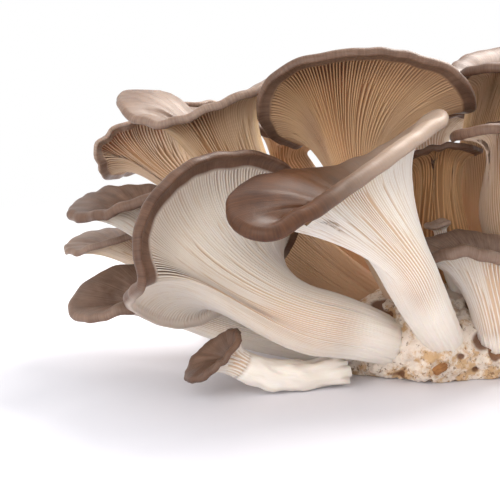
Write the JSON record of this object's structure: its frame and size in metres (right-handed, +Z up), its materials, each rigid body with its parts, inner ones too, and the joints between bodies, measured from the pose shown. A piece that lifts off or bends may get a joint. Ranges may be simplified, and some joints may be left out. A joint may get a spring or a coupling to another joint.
{
  "type": "oyster mushroom cluster",
  "caption": "Cluster of grey-brown oyster mushrooms: gilled fan and trumpet caps on pale stems that spread from one lumpy clump of mycelium.",
  "frame": {"origin": "centre of the bounding box, on the surface that the cluster rests on", "axes": "+X to the right along the cluster's longest side, +Y to the back, +Z up"},
  "size_m": [0.2874, 0.2008, 0.1368],
  "materials": {
    "mushroom_flesh": "matt, slightly fibrous cream flesh and gills under a smooth grey-brown skin",
    "mycelium": "matt, crumbly, cream with ochre",
    "wood_chips": "rough orange-brown wood"
  },
  "bodies": {
    "root": {"mycelium_clump": "mycelium", "wood_chip_front": "wood_chips", "wood_chip_front_right": "wood_chips", "wood_chip_right": "wood_chips", "wood_chip_back": "wood_chips", "large_front_fan": "mushroom_flesh", "front_trumpet": "mushroom_flesh", "upper_left_fan": "mushroom_flesh", "thin_back_left_fan": "mushroom_flesh", "left_shelf": "mushroom_flesh", "small_left_shelf": "mushroom_flesh", "low_left_scoop": "mushroom_flesh", "low_front_hook": "mushroom_flesh", "right_front_shelf": "mushroom_flesh", "upper_right_funnel": "mushroom_flesh", "top_right_funnel": "mushroom_flesh", "top_centre_fan": "mushroom_flesh", "inner_centre_fan": "mushroom_flesh", "inner_back_fan": "mushroom_flesh", "front_right_fan": "mushroom_flesh", "large_right_fan": "mushroom_flesh", "low_right_fan": "mushroom_flesh", "right_back_fan": "mushroom_flesh", "upper_back_right_fan": "mushroom_flesh", "low_back_right_fan": "mushroom_flesh", "back_fan": "mushroom_flesh", "low_back_fan": "mushroom_flesh", "upper_back_fan": "mushroom_flesh", "back_left_fan": "mushroom_flesh", "low_back_left_fan": "mushroom_flesh", "young_centre": "mushroom_flesh", "young_front": "mushroom_flesh", "young_right": "mushroom_flesh"}
  },
  "joints": []
}
